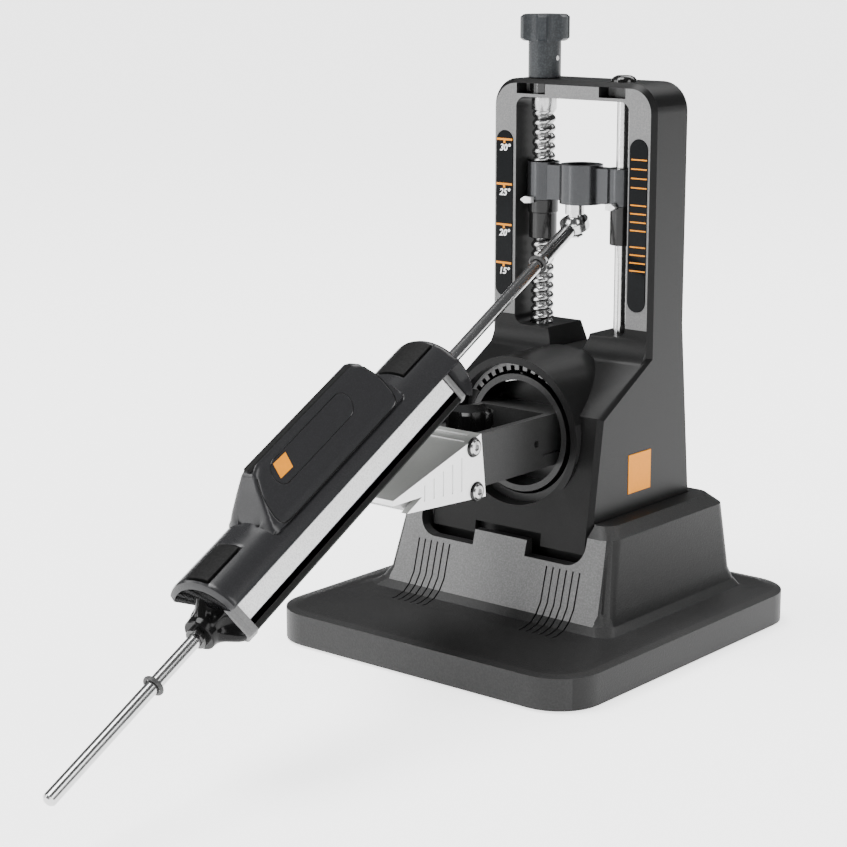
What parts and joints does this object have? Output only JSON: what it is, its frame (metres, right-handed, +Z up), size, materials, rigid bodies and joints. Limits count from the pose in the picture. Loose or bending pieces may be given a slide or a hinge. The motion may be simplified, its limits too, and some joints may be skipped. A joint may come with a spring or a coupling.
{
  "type": "guided-rod honing guide",
  "caption": "Bench honing guide: weighted foot and tower, screw-set angle carriage, swivelling guide rod with a three-sided abrasive block, and a turning knife clamp.",
  "frame": {"origin": "middle of the foot's footprint, on the bench", "axes": "+Z up, -Y towards the clamp and the front, +X to the user's right as seen from the front"},
  "size_m": [0.118, 0.2875, 0.1936],
  "materials": {
    "foot_plastic": "fine texture",
    "foot_rubber": "matte",
    "cover_metal": "matte",
    "fastener_steel": "satin",
    "black_fastener": "satin",
    "tower_plastic": "satin",
    "scale_gloss": "gloss",
    "accent_orange": "satin",
    "bush_dark": "satin",
    "polished_steel": "polished",
    "index_steel": "satin",
    "knob_gunmetal": "satin",
    "carriage_gunmetal": "satin",
    "sleeve_black": "gloss",
    "pointer_metal": "satin",
    "ring_rubber": "matte",
    "handle_plastic": "fine texture",
    "grip_rubber": "matte",
    "bar_plastic": "satin",
    "abrasive_coarse": "speckled",
    "abrasive_fine": "speckled",
    "abrasive_ceramic": "matte",
    "cap_gloss": "gloss",
    "end_plate_grey": "satin",
    "rotor_black": "satin",
    "clamp_black": "satin",
    "jaw_silver": "satin",
    "jaw_grey": "satin"
  },
  "bodies": {
    "stand": {"base": "foot_plastic", "base_plate": "cover_metal", "base_pad": "foot_rubber", "base_plate_screws": "fastener_steel", "tower": "tower_plastic", "tower_screws": "fastener_steel", "left_scale_plate": "scale_gloss", "right_scale_plate": "scale_gloss", "side_badge": "accent_orange", "top_bush": "bush_dark", "bottom_bush": "bush_dark", "guide_post": "polished_steel", "guide_post_screw": "black_fastener", "index_ring": "index_steel"},
    "adjuster": {"lead_screw": "polished_steel", "adjust_knob": "knob_gunmetal", "knob_pin": "fastener_steel", "lead_screw_clip": "fastener_steel"},
    "carriage": {"carriage": "carriage_gunmetal", "drive_nut": "bush_dark", "nut_sleeve": "sleeve_black", "guide_sleeve": "sleeve_black", "left_pointer": "pointer_metal", "right_pointer": "pointer_metal", "pivot_post": "polished_steel", "pivot_clip": "black_fastener"},
    "swivel": {"swivel_ball": "polished_steel"},
    "rod": {"rod_eye": "polished_steel", "guide_rod": "polished_steel"},
    "upper_stop": {"upper_stop_ring": "ring_rubber"},
    "lower_stop": {"lower_stop_ring": "ring_rubber"},
    "slider": {"guide_tube": "bush_dark"},
    "grip": {"handle": "handle_plastic", "upper_grip_pad": "grip_rubber", "lower_grip_pad": "grip_rubber", "index_spring": "fastener_steel"},
    "bar": {"abrasive_bar": "bar_plastic", "plate_coarse": "abrasive_coarse", "plate_fine": "abrasive_fine", "plate_ceramic": "abrasive_ceramic", "finned_cap": "cap_gloss", "upper_end_plate": "end_plate_grey", "lower_end_plate": "end_plate_grey"},
    "clamp": {"rotor": "rotor_black", "rotor_retainer": "rotor_black", "rotor_screws": "fastener_steel", "detent_ball": "fastener_steel", "detent_leaf": "fastener_steel", "clamp_body": "clamp_black", "jaw_head": "jaw_silver", "jaw_head_screws": "fastener_steel", "jaw_pivot_screws": "fastener_steel", "clamp_bush": "bush_dark"},
    "lower_jaw": {"moving_jaw": "jaw_grey"},
    "jaw_pad": {"thrust_pad": "bush_dark"},
    "jaw_knob": {"clamp_screw": "fastener_steel", "clamp_knob": "cap_gloss"}
  },
  "joints": [
    {"name": "adjuster_turn", "type": "hinge", "parent": "stand", "child": "adjuster", "pos_m": [-0.0162, 0.023, 0.1], "axis": [0, 0, 1], "range_deg": [-2225, 5]},
    {"name": "carriage_lift", "type": "slide", "parent": "stand", "child": "carriage", "axis": [0, 0, 1], "range_m": [0, 0.0185]},
    {"name": "swivel_yaw", "type": "hinge", "parent": "carriage", "child": "swivel", "pos_m": [0, 0.0179, 0.1288], "axis": [0, 0, 1], "range_deg": [-30, 25]},
    {"name": "rod_lift", "type": "hinge", "parent": "swivel", "child": "rod", "pos_m": [0, 0.0179, 0.1288], "axis": [-0.9958, -0.0915, 0], "range_deg": [0, 38]},
    {"name": "upper_stop_slide", "type": "slide", "parent": "rod", "child": "upper_stop", "axis": [0.0831, -0.904, -0.4195], "range_m": [-0.001, 0.01]},
    {"name": "lower_stop_slide", "type": "slide", "parent": "rod", "child": "lower_stop", "axis": [0.0831, -0.904, -0.4195], "range_m": [0, 0.038]},
    {"name": "block_slide", "type": "slide", "parent": "rod", "child": "slider", "axis": [0.0831, -0.904, -0.4195], "range_m": [-0.046, 0.016]},
    {"name": "grip_roll", "type": "hinge", "parent": "slider", "child": "grip", "pos_m": [0, 0.0179, 0.1288], "axis": [0.0831, -0.904, -0.4195], "range_deg": [-35, 60]},
    {"name": "bar_index", "type": "hinge", "parent": "grip", "child": "bar", "pos_m": [0, 0.0179, 0.1288], "axis": [0.0831, -0.904, -0.4195], "continuous": true},
    {"name": "clamp_turn", "type": "hinge", "parent": "stand", "child": "clamp", "pos_m": [0, 0, 0.0662], "axis": [0, 1, 0], "range_deg": [0, 45]},
    {"name": "jaw_open", "type": "hinge", "parent": "clamp", "child": "lower_jaw", "pos_m": [0, -0.0555, 0.0592], "axis": [1, 0, 0], "range_deg": [-0.1, 5.2]},
    {"name": "pad_lift", "type": "slide", "parent": "clamp", "child": "jaw_pad", "axis": [0, 0, 1], "range_m": [0, 0.0022]},
    {"name": "jaw_knob_turn", "type": "hinge", "parent": "jaw_pad", "child": "jaw_knob", "pos_m": [0, -0.035, 0.07], "axis": [0, 0, 1], "range_deg": [-5, 1140]}
  ],
  "couplings": [
    {"joint": "adjuster_turn", "follows": "carriage_lift", "rad_per_m": -2094.4},
    {"joint": "jaw_knob_turn", "follows": "pad_lift", "rad_per_m": 8976},
    {"joint": "jaw_open", "follows": "pad_lift", "rad_per_m": 39.2}
  ]
}
